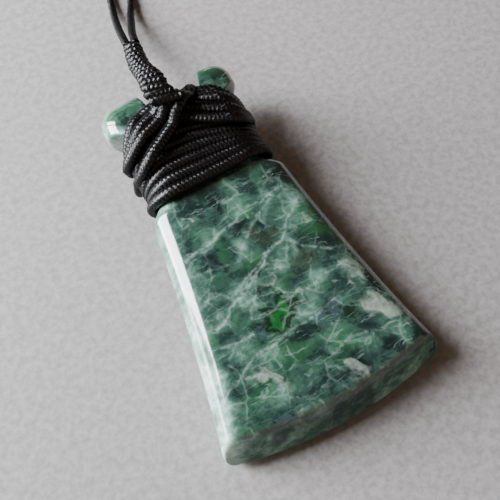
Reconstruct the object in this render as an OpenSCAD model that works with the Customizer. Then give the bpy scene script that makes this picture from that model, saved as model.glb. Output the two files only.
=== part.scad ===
// Toki pendant: a polished stone adze blade, notched at its head and sides and bound with
// braided cord, lying on its back. The lashing lifts its head, so the stone leans a little.
// Local lengths run from the blade's tip (0) to the head, and heights from the back face (0).
// The part's frame has its origin under the middle, on the floor: +Y to the head, +Z up.

/* [Stone] */
// Length of the stone from the blade's tip to the head
stone_l = 43.4; // [42:0.1:46]
// Width across the corners of the blade
blade_w = 25.2; // [23:0.1:27]
// Width of the body just below the lashing
waist_w = 16.4; // [15.6:0.2:17.2]
// Width of the head above the lashing
head_w = 16.6; // [15.8:0.2:17.2]
// Thickness of the stone
stone_t = 5.4; // [5:0.1:6.2]
// Plan width of the rounding along the stone's edge
edge_w = 2.7; // [2.2:0.1:3.0]

/* [Blade] */
// How far the middle of the blade stands out past its corners
blade_sag = 1.7; // [1:0.1:2.4]
// Radius of the blade's corners in plan
corner_r = 1.1; // [0.8:0.1:1.6]
// Plan length of the bevel ground at the blade
bevel_l = 2.2; // [1.6:0.1:3]
// Height of the cutting edge above the back face
edge_h = 1.6; // [1.2:0.1:2.2]

/* [Notches] */
// Depth of the notch in each side
side_notch_d = 1.85; // [1.6:0.05:2]
// Where the side notches begin, from the blade's tip
side_notch_lo = 27.3; // [27.1:0.1:27.4]
// Where the side notches end, from the blade's tip
side_notch_hi = 39.8; // [39.4:0.1:40.2]
// Width of the notch in the head
head_notch_w = 8.0; // [7.8:0.1:8.2]
// Depth of the notch in the head
head_notch_d = 3.2; // [2.8:0.1:3.4]
// How far the notch in the head lies to the right of the middle
head_notch_x = 0.8; // [0.7:0.1:1]
// Radius of the head's outer corners
head_r = 2.2; // [1.8:0.1:2.6]

/* [Lashing] */
// Diameter of the braided cord
cord_d = 1.1; // [1:0.05:1.15]
// Clearance between neighbouring pieces
gap = 0.1; // [0.06:0.01:0.12]
// Number of turns round the waist
waist_turns = 7; // [5:1:7]
// Distance between the centres of neighbouring waist turns at the stone's sides and back
waist_pitch = 0.65; // [0.63:0.01:0.7]
// Distance between the centres of neighbouring waist turns in front, where they spread
front_pitch = 1.23; // [1.2:0.01:1.3]
// Centre of the lowest waist turn at the stone's sides, from the blade's tip
waist_y = 29.75; // [29.65:0.05:29.85]
// How far the lowest waist turn droops towards the blade in front
waist_droop = 0.4; // [0.35:0.05:0.6]

/* [Neck] */
// Width of the wound neck binding
neck_w = 2.8; // [2.6:0.1:3]
// Number of turns in the neck binding
neck_turns = 11; // [9:1:12]

/* [Hidden] */

cord_r = cord_d / 2;
layer = cord_d + gap;
lean = 4.27;
pivot_y = 1.44;
mid_y = 25.738;
settle = 0.05;

stone_green = "#4c7d68";
cord_black = "#1c1c1d";

// Smooth step from 0 to 1
function ease(v) = let (c = min(max(v, 0), 1)) c * c * (3 - 2 * c);
function mix(a, b, v) = a + (b - a) * v;

// The lying pose: local point to the part's own frame. What touches the floor, under the blade
// and under the lashing, is flattened by the depth settle.
function lie(p) = let (y = p[1] - pivot_y) [
    p[0],
    pivot_y - mid_y + y * cos(lean) - p[2] * sin(lean),
    max(y * sin(lean) + p[2] * cos(lean) - settle, 0),
];
function lie_all(pts) = [for (p = pts) lie(p)];

// Stone outline in plan
blade_r = (pow(blade_w / 2, 2) + pow(blade_sag, 2)) / (2 * blade_sag);
flare_l = 28.4;
flare_lin = 0.62;
notch_rise = [2.6, 1.5];
function body_half_w(y) = let (v = max(flare_l - y, 0) / (flare_l - blade_sag))
    y < flare_l
    ? waist_w / 2 + (blade_w - waist_w) / 2 * (flare_lin * v + (1 - flare_lin) * v * v)
    : mix(waist_w / 2, head_w / 2, ease((y - flare_l) / 8));
function notch_in(y) = side_notch_d
    * ease(min((y - side_notch_lo) / notch_rise[0], (side_notch_hi - y) / notch_rise[1]));
function half_w(y) = body_half_w(y) - notch_in(y);
head_fall = 0.7;
notch_wall = 1.3;
function head_y(x) = stone_l - head_fall * pow(x / (head_w / 2), 2)
    - head_notch_d * ease((head_notch_w / 2 - abs(x - head_notch_x)) / notch_wall);
function blade_y(x) = blade_r - sqrt(blade_r * blade_r - x * x);

corner_y = blade_sag + corner_r * 1.3;
corner_x = blade_w / 2 - corner_r * 0.95;
side_steps = 22;
right_outline = concat(
    [for (k = [0:5]) let (x = corner_x * k / 5) [x, blade_y(x)]],
    [for (k = [1:4]) let (t = k / 4, a = [corner_x, blade_y(corner_x)],
        b = [blade_w / 2, blade_sag], c = [half_w(corner_y), corner_y])
        a * pow(1 - t, 2) + b * 2 * t * (1 - t) + c * t * t],
    [for (k = [1:side_steps]) let (y = mix(corner_y, stone_l - head_r, k / side_steps))
        [half_w(y), y]],
    [for (k = [1:4]) let (a = k * 22.5)
        [head_w / 2 - head_r * (1 - cos(a)), head_y(head_w / 2 - head_r) - head_r * (1 - sin(a))]]
);
head_steps = 20;
outline = concat(
    right_outline,
    [for (k = [1:head_steps - 1]) let (x = (head_w / 2 - head_r) * (1 - 2 * k / head_steps)) [x, head_y(x)]],
    [for (k = [len(right_outline) - 1:-1:1]) [-right_outline[k][0], right_outline[k][1]]]
);

// Heights of the stone's front and back at an inset from its outline
spine_lo = 11;
spine_hi = 35;
head_aim = [0.65, 34];
function dome(v) = sqrt(1 - pow(1 - min(v, 1), 2));
function from_blade(p) = blade_r - norm([p[0], p[1] - blade_r]);
function bevel_h(p) = edge_h + max(from_blade(p), 0) * (stone_t - edge_h) / bevel_l;
function rim_h(p) = min(stone_t / 2, bevel_h(p));
function on_head(p) = p[1] > 40.5 || (p[1] > 39.9 && abs(p[0]) < 5.5)
    ? ease((head_w / 2 - abs(p[0])) / head_r) : 0;
function inset_point(p, d) = let (target = mix(
    [0, min(max(p[1], spine_lo), spine_hi)], [p[0] * head_aim[0], head_aim[1]], on_head(p)))
    p + (target - p) / norm(target - p) * d;
function front_h(q, d) = min(bevel_h(q), stone_t / 2 * (1 + dome(d / edge_w)));
function back_h(p, d) = let (rim = rim_h(p), w = edge_w * pow(2 * rim / stone_t, 1.2))
    rim * (1 - dome(d / w));

// Insets of the rings of points on the front and on the back
front_insets = [0.1, 0.35, 0.75, 1.25, 1.9, 2.7, 2.85];
back_insets = [0.1, 0.35, 0.75, 1.25, 1.9, 2.7];
stone_rings = concat(
    [for (k = [len(back_insets) - 1:-1:0]) let (d = back_insets[k])
        [for (p = outline) let (q = inset_point(p, d)) [q[0], q[1], back_h(p, d)]]],
    [[for (p = outline) [p[0], p[1], rim_h(p)]]],
    [for (d = front_insets) [for (p = outline) let (q = inset_point(p, d)) [q[0], q[1], front_h(q, d)]]]
);
stone_caps = cap_faces(filled(stone_rings[0]), filled(stone_rings[len(stone_rings) - 1]),
    (len(stone_rings) - 1) * len(outline));

// Triangles that fill a flat ring of points, whose inner corners may be hollow: one ear of the
// ring is cut off after the other, where no other point of the ring lies in it
function turn_of(a, b, c) = (b[0] - a[0]) * (c[1] - a[1]) - (b[1] - a[1]) * (c[0] - a[0]);
function holds(a, b, c, p) = min(turn_of(a, b, p), turn_of(b, c, p), turn_of(c, a, p)) > -0.000001;
function is_ear(ring, left, k) = let (
    n = len(left), ia = left[(k + n - 1) % n], ib = left[k], ic = left[(k + 1) % n],
    a = ring[ia], b = ring[ib], c = ring[ic]
) turn_of(a, b, c) > 0.000001
    && len([for (i = left) if (i != ia && i != ib && i != ic && holds(a, b, c, ring[i])) i]) == 0;
function first_ear(ring, left, k = 0) = is_ear(ring, left, k) ? k : first_ear(ring, left, k + 1);
function ears(ring, left) = len(left) == 3 ? [left] : let (n = len(left), k = first_ear(ring, left)) concat(
    [[left[(k + n - 1) % n], left[k], left[(k + 1) % n]]],
    ears(ring, [for (i = [0:n - 1]) if (i != k) left[i]])
);
function filled(ring) = ears(ring, [for (i = [0:len(ring) - 1]) i]);

// Skin over rings of points: closed along the rings, and capped or joined at the ends
function flat(rows) = [for (r = rows) each r];
function side_faces(rings, n, closed) = [for (i = [0:rings - (closed ? 1 : 2)], j = [0:n - 1])
    let (a = i * n + j, b = i * n + (j + 1) % n, c = ((i + 1) % rings) * n + j,
        d = ((i + 1) % rings) * n + (j + 1) % n)
    each [[a, c, b], [b, c, d]]];
function cap_faces(first, last, start) = concat(first, [for (t = last) [for (k = [2:-1:0]) start + t[k]]]);
module skin(rows, caps = []) {
    polyhedron(
        points = flat(rows),
        faces = concat(side_faces(len(rows), len(rows[0]), len(caps) == 0), caps),
        convexity = 8
    );
}
// Fans over the two end rings of a round cord
function fan_caps(rings, n) = let (fan = [for (j = [1:n - 2]) [0, j, j + 1]])
    cap_faces(fan, fan, (rings - 1) * n);

// A closed turn of cord. In plan it runs from a point of the stone's side to a point of the
// opposite side or of the head, and it goes round each edge on a quarter ellipse and back below.
// a, b: the plan points; in_a, in_b: how far before them the rounding starts; dir_b: the plan
// direction in which it leaves b; lift: layers of cord underneath, at a plan point and a side
// share of 1 in front to -1 at the back; droop: how far its front lies towards the blade, at
// a and at the middle
end_steps = 6;
face_steps = 6;
function turn_path(a, b, in_a, in_b, dir_b, lift, droop) = let (
    u = unit(b - a),
    a_in = a + u * in_a,
    b_in = b - dir_b * in_b,
    off = cord_r + gap,
    half = stone_t / 2,
    feet = concat(
        [for (k = [0:face_steps - 1]) [mix(a_in, b_in, k / face_steps), 1, [0, 0]]],
        [for (k = [0:2 * end_steps - 1]) let (ang = 90 - k * 90 / end_steps)
            [b_in + dir_b * in_b * cos(ang), sin(ang), dir_b * cos(ang)]],
        [for (k = [0:face_steps - 1]) [mix(b_in, a_in, k / face_steps), -1, [0, 0]]],
        [for (k = [0:2 * end_steps - 1]) let (ang = 90 - k * 90 / end_steps)
            [a_in - u * in_a * cos(ang), -sin(ang), -u * cos(ang)]]
    )
) [for (q = feet) let (
    foot = q[0] - [0, fall_at(q[0], a, b, droop, q[1])],
    h = off + layer * lift(foot, q[1]),
    p = foot + q[2] * h
) [p[0], p[1], half + (half + h) * q[1]]];
function fall_at(p, a, b, droop, side) = let (
    t = min(max((p - a) * (b - a) / (norm(b - a) * norm(b - a)), 0), 1)
) (droop[0] * (1 - t) + droop[1] * 4 * t * (1 - t)) * max(side, 0);

// Frames along a closed path: direction of travel and outward normal
function unit(v) = v / norm(v);
function travel(path, i) = let (n = len(path)) unit(path[(i + 1) % n] - path[(i + n - 1) % n]);

// Points of one turn's rounded rib about its centre: side share and outward share of the radius
rib = [[-0.86, 0.36], [-0.42, 0.9], [0.42, 0.9], [0.86, 0.36]];
rib_start = [[-0.6, -0.8], [-1, -0.1]];
rib_end = [[1, -0.1], [0.6, -0.8]];

// A bundle of neighbouring turns fused into one ribbed band; paths lists the centre lines
function band_rows(paths) = let (n = len(paths[0]), m = len(paths))
    [for (i = [0:n - 1]) let (
        centre = paths[0][i],
        across = paths[m - 1][i] - centre,
        side = unit(across),
        dir = travel(paths[0], i),
        out = unit(cross(side, dir)),
        rib_r = min(cord_r, norm(across) / (m - 1) / 2),
        at = function(k, s, r) paths[k][i] + side * s[0] * r + out * s[1] * cord_r
    ) concat(
        [for (s = rib_start) at(0, s, cord_r)],
        [for (k = [0:m - 1], s = rib) at(k, s, rib_r)],
        [for (s = rib_end) at(m - 1, s, cord_r)],
        [for (k = [m - 1:-1:0]) at(k, [0, -0.96], rib_r)]
    )];

// Waist turns lie straight across, each clear of the notch's flanks
function clear_half_w(y) = max([for (k = [-4:4]) let (
    off = cord_r + gap,
    dy = off * k / 4
) half_w(y + dy) + sqrt(off * off - dy * dy)]) - cord_r - gap;
on_stone = function(p, side) 0;
function waist_fall(k) = waist_droop - k * (front_pitch - waist_pitch);
waist_paths = [for (k = [0:waist_turns - 1]) let (
    y = waist_y + k * waist_pitch,
    fall = waist_fall(k),
    w = clear_half_w(y - max(waist_fall(k), 0))
) turn_path([-w, y], [w, y], edge_w, edge_w, [1, 0], on_stone, [fall, fall / 2])];

// Shoulder turns, from the side notch to the head notch, with the droop of their fronts
right_turns = [
    // side x, side y, notch x, notch y, droop at side, droop at middle
    [6.75, 36.3, 1.9, 40.2, 0.0, -0.45],
    [6.6, 35.9, 0.6, 40.2, 0.5, 0.3],
    [6.65, 35.25, -0.7, 40.2, 1.1, 0.9],
];
left_turns = [
    // side x, side y, notch x, notch y, droop at side, droop at middle
    [-6.6, 36.5, -1.1, 40.2, 0.3, -0.7],
    [-6.85, 36.1, 0.0, 40.2, 0.6, 0.0],
    [-7.05, 35.7, 0.95, 40.2, 0.75, 0.5],
];
crossing_line = [-6.6, 34.0, 2.7, 40.2, 1.6, 0.5];
shoulder_in = edge_w;
notch_in_l = 1.6;
notch_lean = 27;
function shoulder_path(t, lift) = turn_path([t[0], t[1]], [t[2], t[3]], shoulder_in, notch_in_l,
    [-sign(t[0]) * sin(notch_lean), cos(notch_lean)], lift, [t[4], t[5]]);

// Lifts over the pieces underneath, in layers of cord
waist_top = waist_y + (waist_turns - 1) * waist_pitch + cord_r;
top_fall = waist_fall(waist_turns - 1);
function waist_top_at(x, side) = waist_top
    - fall_at([x, 0], [-waist_w / 2, 0], [waist_w / 2, 0], [top_fall, top_fall / 2], side);
function on_waist_at(p, side) = ease((waist_top_at(p[0], side) + 1.75 - p[1]) / 1.2);
function inside_right(p, side) = let (
    t = right_turns[2], a = [t[0], t[1]], b = [t[2], t[3]], u = unit(b - a),
    d = p + [0, fall_at(p, a, b, [t[4], t[5]], side)] - a
) d[0] * u[1] - d[1] * u[0];
function over_right_at(p, side) = ease((inside_right(p, side) + 3.25) / 1.5);
on_waist = function(p, side) on_waist_at(p, side);
over_right = function(p, side) on_waist_at(p, side) + 1.31 * over_right_at(p, side);
right_paths = [for (t = right_turns) shoulder_path(t, on_waist)];
left_paths = [for (t = left_turns) shoulder_path(t, over_right)];
crossing_path = shoulder_path(crossing_line, over_right);

// One closed turn as a round cord
cord_sides = 8;
function closed_cord(path) = [for (i = [0:len(path) - 1]) let (dir = travel(path, i),
    side = [-dir[1], dir[0], 0], flat_side = norm(side) > 0.05 ? unit(side) : [0, 1, 0],
    up = unit(cross(flat_side, dir)), across = cross(dir, up))
    [for (k = [0:cord_sides - 1]) let (a = (k + 0.5) * 360 / cord_sides)
        path[i] + (across * cos(a) + up * sin(a)) * cord_r]];

// Neck binding: centre line over the crossing and out past the head, with its width and height
neck_stations = [
    // x, y, z, width share, height
    [-1.35, 38.9, 9.75, 1.2, 1.45],
    [-1.25, 40.4, 9.2, 1.16, 1.7],
    [-1.15, 42.1, 8.0, 1.06, 2.0],
    [-1.1, 43.8, 6.5, 0.98, 2.3],
    [-1.0, 45.6, 5.1, 0.96, 2.4],
    [-0.8, 47.5, 3.9, 0.94, 2.4],
    [-0.45, 49.5, 2.8, 0.92, 2.3],
    [-0.1, 51.5, 1.8, 0.84, 2.1],
];
neck_sides = 12;
rings_per_turn = 4;
groove = 0.86;
// Smooth curve through the rows of a table, v from 0 to 1
function row_at(t, v) = let (
    n = len(t), f = min(v, 0.99999) * (n - 1), i = floor(f), u = f - i,
    a = t[max(i - 1, 0)], b = t[i], c = t[min(i + 1, n - 1)], d = t[min(i + 2, n - 1)]
) 0.5 * (2 * b + (c - a) * u + (2 * a - 5 * b + 4 * c - d) * u * u + (3 * b - a - 3 * c + d) * u * u * u);
function xyz(r) = [r[0], r[1], r[2]];
neck_rings = neck_turns * rings_per_turn;
neck_rows = [for (i = [0:neck_rings]) let (
    v = i / neck_rings,
    s = row_at(neck_stations, v),
    dir = unit(xyz(row_at(neck_stations, min(v + 0.01, 1))) - xyz(row_at(neck_stations, max(v - 0.01, 0)))),
    side = unit(cross(dir, [0, 0, 1])),
    up = cross(side, dir),
    swell = mix(groove, 1, pow(abs(sin(180 * i / rings_per_turn)), 0.7))
) [for (k = [0:neck_sides - 1]) let (a = (k + 0.5) * 360 / neck_sides)
    xyz(s) + (side * cos(a) * s[3] * neck_w / 2 + up * sin(a) * s[4] / 2) * swell]];

// Neck cord: one loop from the binding's end and back to it, laid double on the floor and
// folded loosely beyond the head. The route is the line midway between its two strands.
neck_dir = unit(lie(xyz(neck_stations[7])) - lie(xyz(row_at(neck_stations, 0.98))));
cord_start = lie(xyz(neck_stations[7])) + neck_dir * gap;
fold_hi = 89;
route = [
    // x, y, z, half the distance between the strands
    [0.15, 27.6, 4.6, 0.62],
    [0.55, 29.9, 3.3, 0.78],
    [1.05, 32.2, 2.1, 0.95],
    [1.6, 34.6, 1.1, 1.12],
    [2.4, 37.2, 0.6, 1.35],
    [2.9, 39.9, 0.55, 1.4],
    [2.2, 42.6, 0.55, 1.35],
    [-0.3, 45.0, 0.55, 1.1],
    [-4.0, 47.1, 0.55, 0.8],
    [-7.4, 49.6, 0.55, 0.65],
    [-9.7, 53.0, 0.55, 0.65],
    [-10.4, 57.0, 0.55, 0.65],
    [-10.4, 72.0, 0.55, 0.65],
    [-10.4, fold_hi, 0.55, 0.65],
    [-9.3, fold_hi + 2.8, 0.55, 0.65],
    [-6.5, fold_hi + 3.9, 0.55, 0.65],
    [-3.7, fold_hi + 2.8, 0.55, 0.65],
    [-2.6, fold_hi, 0.55, 0.65],
    [-2.6, 72.0, 0.55, 0.65],
    [-2.6, 57.0, 0.55, 0.65],
    [-1.5, 54.2, 0.55, 0.65],
    [1.3, 53.1, 0.55, 0.65],
    [4.1, 54.2, 0.55, 0.65],
    [5.2, 57.0, 0.55, 0.65],
    [5.2, 72.0, 0.55, 0.65],
    [5.2, fold_hi, 0.55, 0.65],
    [6.3, fold_hi + 2.8, 0.55, 0.65],
    [9.1, fold_hi + 3.9, 0.55, 0.65],
    [11.9, fold_hi + 2.8, 0.55, 0.65],
    [13.0, fold_hi, 0.55, 0.65],
    [13.0, 72.0, 0.55, 0.65],
    [13.0, 57.0, 0.55, 0.65],
    [12.8, 48.0, 0.55, 0.8],
    [12.6, 44.0, 0.55, 1.7],
    [12.5, 41.0, 0.55, 2.8],
    [12.5, 38.4, 0.55, 2.6],
    [12.5, 36.9, 0.55, 1.4],
];
cord_tip = [12.5, 36.5, 0.55];
function strand(side) = concat(
    [cord_start + unit(cross(neck_dir, [0, 0, 1])) * side * -0.58],
    [for (i = [0:len(route) - 1]) let (
        a = i > 0 ? xyz(route[i - 1]) : cord_start,
        b = i < len(route) - 1 ? xyz(route[i + 1]) : cord_tip,
        dir = unit([b[0] - a[0], b[1] - a[1]])
    ) xyz(route[i]) + [-dir[1], dir[0], 0] * side * route[i][3]]
);
function turned(rows) = [for (i = [len(rows) - 1:-1:0]) rows[i]];
cord_line = concat(strand(1), [cord_tip], turned(strand(-1)));
cord_rows = let (n = len(cord_line)) [for (i = [0:n - 1]) let (
    dir = i == 0 ? neck_dir : i == n - 1 ? -neck_dir : unit(cord_line[i + 1] - cord_line[i - 1]),
    side = unit(cross(dir, [0, 0, 1])),
    up = cross(side, dir)
) [for (k = [0:cord_sides - 1]) let (a = (k + 0.5) * 360 / cord_sides)
    cord_line[i] + (side * cos(a) + up * sin(a)) * cord_r]];

module toki_blade() {
    color(stone_green) skin([for (row = stone_rings) lie_all(row)], stone_caps);
}

module waist_binding() {
    color(cord_black) skin([for (row = band_rows(waist_paths)) lie_all(row)]);
}

module right_shoulder_binding() {
    color(cord_black) skin([for (row = band_rows(right_paths)) lie_all(row)]);
}

module left_shoulder_binding() {
    color(cord_black) skin([for (row = band_rows(left_paths)) lie_all(row)]);
}

module crossing_turn() {
    color(cord_black) skin([for (row = closed_cord(crossing_path)) lie_all(row)]);
}

module neck_binding() {
    color(cord_black) skin([for (row = neck_rows) lie_all(row)], fan_caps(len(neck_rows), neck_sides));
}

module neck_cord() {
    color(cord_black) skin(cord_rows, fan_caps(len(cord_rows), cord_sides));
}

toki_blade();
waist_binding();
right_shoulder_binding();
left_shoulder_binding();
crossing_turn();
neck_binding();
neck_cord();
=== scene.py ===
import math
import bpy
import numpy as np
from mathutils import Matrix, Vector
from mathutils.geometry import delaunay_2d_cdt


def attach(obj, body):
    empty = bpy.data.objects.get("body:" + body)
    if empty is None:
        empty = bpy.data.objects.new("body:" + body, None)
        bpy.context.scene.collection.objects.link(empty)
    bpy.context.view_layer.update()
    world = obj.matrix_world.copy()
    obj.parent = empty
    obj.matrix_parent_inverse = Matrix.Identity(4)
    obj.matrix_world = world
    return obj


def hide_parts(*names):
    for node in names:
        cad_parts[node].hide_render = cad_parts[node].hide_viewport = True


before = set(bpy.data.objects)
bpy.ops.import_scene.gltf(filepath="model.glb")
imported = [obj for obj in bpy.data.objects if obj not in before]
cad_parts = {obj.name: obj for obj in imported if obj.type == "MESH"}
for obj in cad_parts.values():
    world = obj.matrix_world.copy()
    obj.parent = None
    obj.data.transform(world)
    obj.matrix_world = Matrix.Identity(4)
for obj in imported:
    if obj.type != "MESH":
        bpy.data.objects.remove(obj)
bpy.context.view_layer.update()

MM = 0.001

# The lying pose of the bound stone, from its own frame (blade's tip at y 0, back at z 0) in mm
LEAN = math.radians(4.27)
PIVOT_Y, MID_Y, SETTLE = 1.44, 25.738, 0.05


def lie(points, move=True):
    """Own frame in mm to the part's frame in metres; directions with move=False."""
    p = np.asarray(points, float)
    y, z = p[..., 1] - (PIVOT_Y if move else 0), p[..., 2]
    turned = np.stack([p[..., 0], y * math.cos(LEAN) - z * math.sin(LEAN),
                       y * math.sin(LEAN) + z * math.cos(LEAN)], -1)
    if not move:
        return turned
    placed = turned + [0, PIVOT_Y - MID_Y, -SETTLE]
    placed[..., 2] = np.maximum(placed[..., 2], 0)
    return placed * MM


def unit(v):
    """Vectors scaled to length 1."""
    v = np.asarray(v, float)
    return v / np.maximum(np.linalg.norm(v, axis=-1, keepdims=True), 1e-12)


def ease(v):
    """Smooth step from 0 to 1."""
    c = np.clip(v, 0, 1)
    return c * c * (3 - 2 * c)


# Camera: how the stone was seen, in its own frame
SEEN_ELEVATION, SEEN_YAW, SEEN_FROM = math.radians(70.7), math.radians(-28.0), 73.7
LOOKED_AT = [0.5, 21.3, 0]
FOCAL_PX, IMAGE_PX, SENSOR = 650, 500, 36


def photo_camera():
    """The photo's camera, placed from where the stone was seen."""
    e, a = SEEN_ELEVATION, SEEN_YAW
    back = np.array([math.sin(a) * math.cos(e), -math.cos(a) * math.cos(e), math.sin(e)])
    right = np.array([math.cos(a), math.sin(a), 0])
    up = np.cross(back, right)
    x, y, z = (lie(v, move=False) for v in (right, up, back))
    place = lie(np.array(LOOKED_AT) + back * SEEN_FROM)
    data = bpy.data.cameras.new("photo_camera")
    data.sensor_width = SENSOR
    data.lens = SENSOR * FOCAL_PX / IMAGE_PX
    data.clip_start, data.clip_end = 0.005, 5
    camera = bpy.data.objects.new("photo_camera", data)
    bpy.context.scene.collection.objects.link(camera)
    camera.matrix_world = Matrix([[x[i], y[i], z[i], place[i]] for i in range(3)] + [[0, 0, 0, 1]])
    bpy.context.scene.camera = camera


# Meshes
def new_piece(name, points, faces, material, lay=None, smooth=True):
    """A mesh piece from points in metres; lay gives each point's place along and across a yarn."""
    mesh = bpy.data.meshes.new(name)
    quads = np.asarray(faces, np.int32)
    mesh.vertices.add(len(points))
    mesh.vertices.foreach_set("co", np.asarray(points, np.float32).ravel())
    mesh.loops.add(quads.size)
    mesh.loops.foreach_set("vertex_index", quads.ravel())
    mesh.polygons.add(len(quads))
    mesh.polygons.foreach_set("loop_start", np.arange(len(quads), dtype=np.int32) * quads.shape[1])
    mesh.polygons.foreach_set("use_smooth", np.full(len(quads), smooth))
    mesh.update(calc_edges=True)
    if lay is not None:
        layer = mesh.uv_layers.new(name="lay")
        layer.data.foreach_set("uv", np.asarray(lay, np.float32)[quads.ravel()].ravel())
    mesh.materials.append(material)
    piece = bpy.data.objects.new(name, mesh)
    bpy.context.scene.collection.objects.link(piece)
    return piece


def grid_faces(rows, cols, wrap_rows, wrap_cols, flip=False):
    """Quads over a grid of points, which may close up on itself either way."""
    i, j = np.meshgrid(np.arange(rows if wrap_rows else rows - 1),
                       np.arange(cols if wrap_cols else cols - 1), indexing="ij")
    i2, j2 = (i + 1) % rows, (j + 1) % cols
    quads = np.stack([i * cols + j, i * cols + j2, i2 * cols + j2, i2 * cols + j], -1).reshape(-1, 4)
    return quads[:, ::-1] if flip else quads


# Colours and shader nodes
def add(tree, kind, feeds=None, **settings):
    """Adds a node with its settings; feeds gives its inputs their values or links."""
    node = tree.nodes.new("ShaderNode" + kind)
    for key, value in settings.items():
        setattr(node, key, value)
    for socket, value in (feeds or {}).items():
        if hasattr(value, "is_output"):
            tree.links.new(value, node.inputs[socket])
        else:
            node.inputs[socket].default_value = value
    return node


def hue(code):
    """sRGB hex value to linear colour."""
    channels = [int(code[i:i + 2], 16) / 255 for i in (1, 3, 5)]
    return tuple(c / 12.92 if c <= 0.04045 else ((c + 0.055) / 1.055) ** 2.4 for c in channels) + (1.0,)


def new_material(name, **surface):
    """A material whose surface values go straight to its shader's inputs."""
    material = bpy.data.materials.new(name)
    material.use_nodes = True
    tree = material.node_tree
    shader = tree.nodes["Principled BSDF"]
    for key, value in surface.items():
        shader.inputs[key.replace("_", " ")].default_value = value
    return material, tree, shader


def laid_over(tree, colour, layers):
    """Lays colours over a first one. Each shows at its strength where all its values have passed
    smoothly from off to on."""
    for code, strength, edges in layers:
        for value, off, on in edges:
            feeds = {0: value, 1: off, 2: on, 4: strength}
            strength = add(tree, "MapRange", feeds, interpolation_type="SMOOTHSTEP").outputs[0]
        colour = add(tree, "Mix", {0: strength, 6: colour, 7: hue(code)}, data_type="RGBA").outputs[2]
    return colour


# The stone: sizes in mm, as in the part's source
STONE_L, BLADE_W, WAIST_W, HEAD_W, STONE_T = 43.4, 25.2, 16.4, 16.6, 5.4
EDGE_W, CROWN, CROWN_W, ROUND_W = 2.7, 0.25, 6.0, 2.85
BLADE_SAG, BEVEL_L, EDGE_H, BEVEL_SOFT = 1.7, 2.2, 1.6, 0.8
CORNER_R, CORNER_UP, CORNER_IN = 1.1, 1.3, 0.95
NOTCH_D, NOTCH_LO, NOTCH_HI, NOTCH_RISE = 1.85, 27.3, 39.8, (2.6, 1.5)
HEAD_NOTCH_W, HEAD_NOTCH_D, HEAD_NOTCH_X, HEAD_R = 8.0, 3.2, 0.8, 2.2
HEAD_FALL, NOTCH_WALL, FLARE_L, FLARE_LIN = 0.7, 1.3, 28.4, 0.62
HEAD_GROW, HEAD_END, NOTCH_END, NOTCH_REACH = 8, 40.5, 39.9, 5.5
SPINE_LO, SPINE_HI = 11, 35
HEAD_AIM = (0.65, 34)
BLADE_R = ((BLADE_W / 2) ** 2 + BLADE_SAG ** 2) / (2 * BLADE_SAG)
# How fine its mesh is: points round it, rows on its edge, and the spacing on its back and front
OUTLINE_POINTS, BACK_ROWS, FRONT_ROWS, BACK_GRID, FRONT_GRID = 760, 14, 22, 0.6, 0.17


def half_w(y):
    """Half the stone's width at a height above the blade's tip."""
    v = np.maximum(FLARE_L - y, 0) / (FLARE_L - BLADE_SAG)
    flared = WAIST_W / 2 + (BLADE_W - WAIST_W) / 2 * (FLARE_LIN * v + (1 - FLARE_LIN) * v * v)
    head = WAIST_W / 2 + (HEAD_W - WAIST_W) / 2 * ease((y - FLARE_L) / HEAD_GROW)
    notch = NOTCH_D * ease(np.minimum((y - NOTCH_LO) / NOTCH_RISE[0], (NOTCH_HI - y) / NOTCH_RISE[1]))
    return np.where(y < FLARE_L, flared, head) - notch


def head_y(x):
    """Height of the head's end over x, with its notch."""
    return STONE_L - HEAD_FALL * (x / (HEAD_W / 2)) ** 2 \
        - HEAD_NOTCH_D * ease((HEAD_NOTCH_W / 2 - np.abs(x - HEAD_NOTCH_X)) / NOTCH_WALL)


def blade_y(x):
    """Height of the blade's edge over x."""
    return BLADE_R - np.sqrt(BLADE_R ** 2 - x * x)


def stone_outline():
    """Evenly spaced points round the stone: blade, corner, side and shoulder, the head, and back."""
    corner_y, corner_x = BLADE_SAG + CORNER_R * CORNER_UP, BLADE_W / 2 - CORNER_R * CORNER_IN
    # each stretch is sampled finely here and spaced evenly at the end
    x = np.linspace(0, corner_x, 60)
    blade = np.stack([x, blade_y(x)], 1)
    t = np.linspace(0, 1, 16)[1:, None]
    low, tip = np.array([corner_x, blade_y(corner_x)]), np.array([BLADE_W / 2, BLADE_SAG])
    high = np.array([float(half_w(np.float64(corner_y))), corner_y])
    corner = low * (1 - t) ** 2 + tip * 2 * t * (1 - t) + high * t * t
    y = np.linspace(corner_y, STONE_L - HEAD_R, 400)[1:]
    side = np.stack([half_w(y), y], 1)
    a = np.radians(np.linspace(0, 90, 20)[1:])
    top_x = HEAD_W / 2 - HEAD_R
    shoulder = np.stack([HEAD_W / 2 - HEAD_R * (1 - np.cos(a)),
                         head_y(np.float64(top_x)) - HEAD_R * (1 - np.sin(a))], 1)
    right = np.concatenate([blade, corner, side, shoulder])
    x = np.linspace(top_x, -top_x, 240)[1:-1]
    head = np.stack([x, head_y(x)], 1)
    ring = np.concatenate([right, head, right[:0:-1] * [-1, 1], right[:1]])
    along = np.concatenate([[0], np.cumsum(np.linalg.norm(np.diff(ring, axis=0), axis=1))])
    at = np.linspace(0, along[-1], OUTLINE_POINTS, endpoint=False)
    return np.stack([np.interp(at, along, ring[:, k]) for k in (0, 1)], 1)


def dome(v):
    """Height of a quarter circle, from 0 at its foot to 1."""
    return np.sqrt(1 - (1 - np.minimum(v, 1)) ** 2)


def bevel_h(p):
    """Height of the bevel's face over a place; past the bevel it rises above the stone."""
    from_blade = BLADE_R - np.hypot(p[..., 0], p[..., 1] - BLADE_R)
    return EDGE_H + np.maximum(from_blade, 0) * (STONE_T - EDGE_H) / BEVEL_L


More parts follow.
